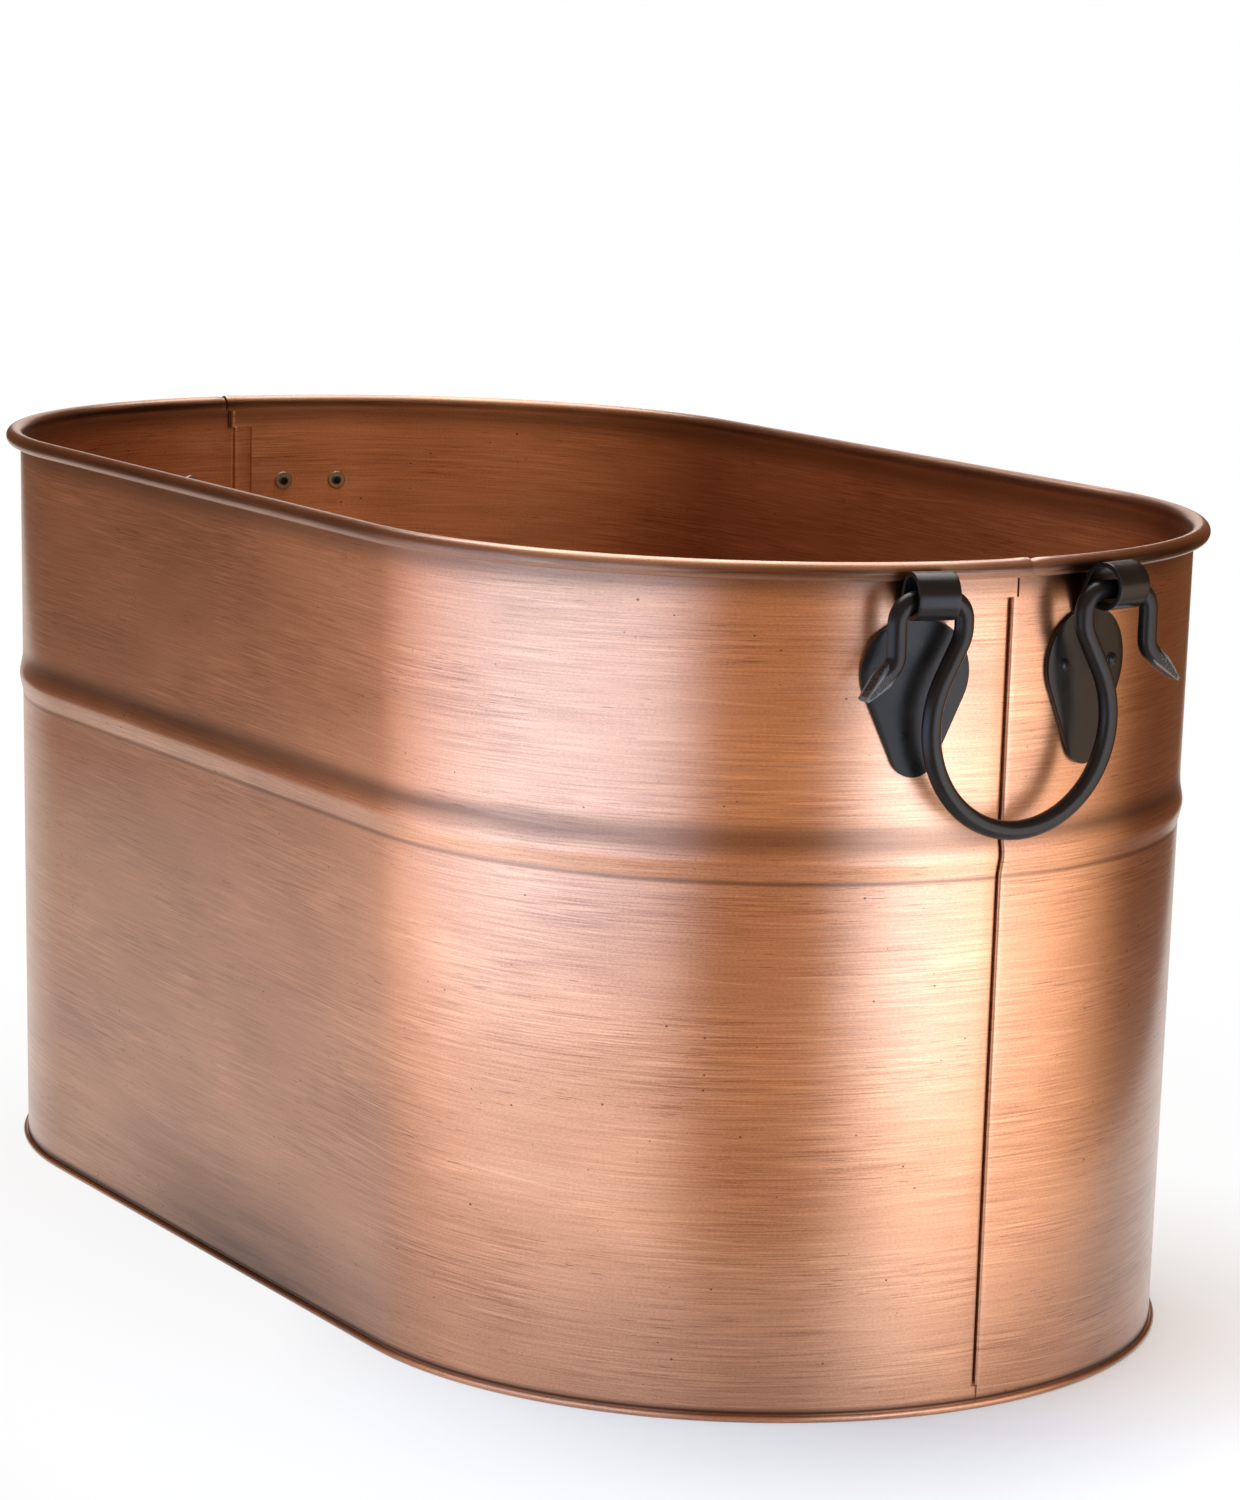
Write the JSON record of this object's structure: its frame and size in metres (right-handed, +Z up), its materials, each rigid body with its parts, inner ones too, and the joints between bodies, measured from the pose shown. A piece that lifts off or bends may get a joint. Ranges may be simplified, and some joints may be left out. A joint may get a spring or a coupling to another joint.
{
  "type": "firewood bucket",
  "caption": "Oval copper sheet bucket for firewood with a wired rolled rim, a swaged ridge, a hemmed floor and hinged iron bail handles at both ends.",
  "frame": {"origin": "on the floor, at the middle of the base", "axes": "+X along the length towards the right handle, +Y towards the back, +Z up"},
  "size_m": [0.6418, 0.334, 0.305],
  "materials": {
    "copper": "brushed antique copper sheet, darkened in the folds",
    "iron": "forged iron, satin black paint",
    "steel": "plain drawn steel"
  },
  "bodies": {
    "bucket": {"wall_front": "copper", "wall_back": "copper", "bottom_pan": "copper", "rim_wire": "steel", "bracket_right_front": "iron", "bracket_right_back": "iron", "bracket_left_front": "iron", "bracket_left_back": "iron", "rivet_right_front_1": "iron", "rivet_right_front_2": "iron", "rivet_right_back_1": "iron", "rivet_right_back_2": "iron", "rivet_left_front_1": "iron", "rivet_left_front_2": "iron", "rivet_left_back_1": "iron", "rivet_left_back_2": "iron", "washer_right_front_1": "steel", "washer_right_front_2": "steel", "washer_right_back_1": "steel", "washer_right_back_2": "steel", "washer_left_front_1": "steel", "washer_left_front_2": "steel", "washer_left_back_1": "steel", "washer_left_back_2": "steel"},
    "handle_right": {"bail_right": "iron"},
    "handle_left": {"bail_left": "iron"}
  },
  "joints": [
    {"name": "right_bail_swing", "type": "hinge", "parent": "bucket", "child": "handle_right", "pos_m": [0.31108, 0, 0.2926], "axis": [0, -1, 0], "range_deg": [-4, 181]},
    {"name": "left_bail_swing", "type": "hinge", "parent": "bucket", "child": "handle_left", "pos_m": [-0.31108, 0, 0.2926], "axis": [0, 1, 0], "range_deg": [-4, 181]}
  ]
}
